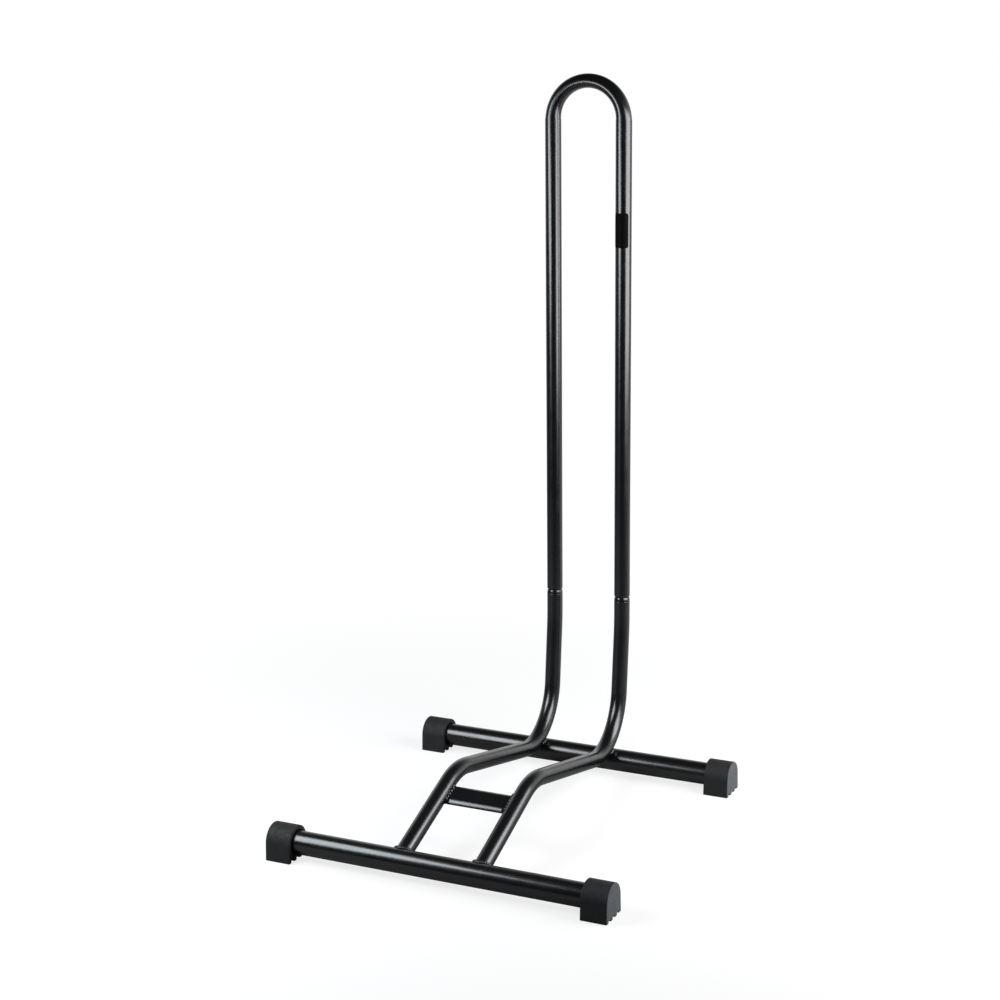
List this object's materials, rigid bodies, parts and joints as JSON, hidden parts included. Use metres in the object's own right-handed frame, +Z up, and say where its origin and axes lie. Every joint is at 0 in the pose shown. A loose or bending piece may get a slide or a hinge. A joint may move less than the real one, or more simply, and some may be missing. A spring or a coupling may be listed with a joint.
{
  "type": "floor bike rack",
  "caption": "Free-standing floor bike rack: a welded tube cradle on crossbars with rubber feet takes one wheel, and a tall hoop that lifts off steadies it.",
  "frame": {"origin": "middle of the footprint, on the floor under the rubber feet", "axes": "+Z up along the hoop, +Y from the front crossbar to the hoop, +X along the crossbars to the right"},
  "size_m": [0.3836, 0.4204, 0.7913],
  "materials": {
    "black_powder_coat": "semi-gloss black powder coat over steel tube",
    "foot_rubber": "matt black moulded rubber",
    "label_film": "satin black film, blank"
  },
  "bodies": {
    "base": {"front_crossbar": "black_powder_coat", "rear_crossbar": "black_powder_coat", "left_cradle_tube": "black_powder_coat", "right_cradle_tube": "black_powder_coat", "cradle_brace": "black_powder_coat", "weld_front_left": "black_powder_coat", "weld_front_right": "black_powder_coat", "weld_rear_left": "black_powder_coat", "weld_rear_right": "black_powder_coat", "weld_brace_left": "black_powder_coat", "weld_brace_right": "black_powder_coat", "foot_front_left": "foot_rubber", "foot_front_right": "foot_rubber", "foot_rear_left": "foot_rubber", "foot_rear_right": "foot_rubber"},
    "hoop": {"upright_hoop": "black_powder_coat", "blank_label": "label_film"}
  },
  "joints": [
    {"name": "hoop_lift", "type": "slide", "parent": "base", "child": "hoop", "axis": [0, 0, 1], "range_m": [0, 0.06]}
  ]
}
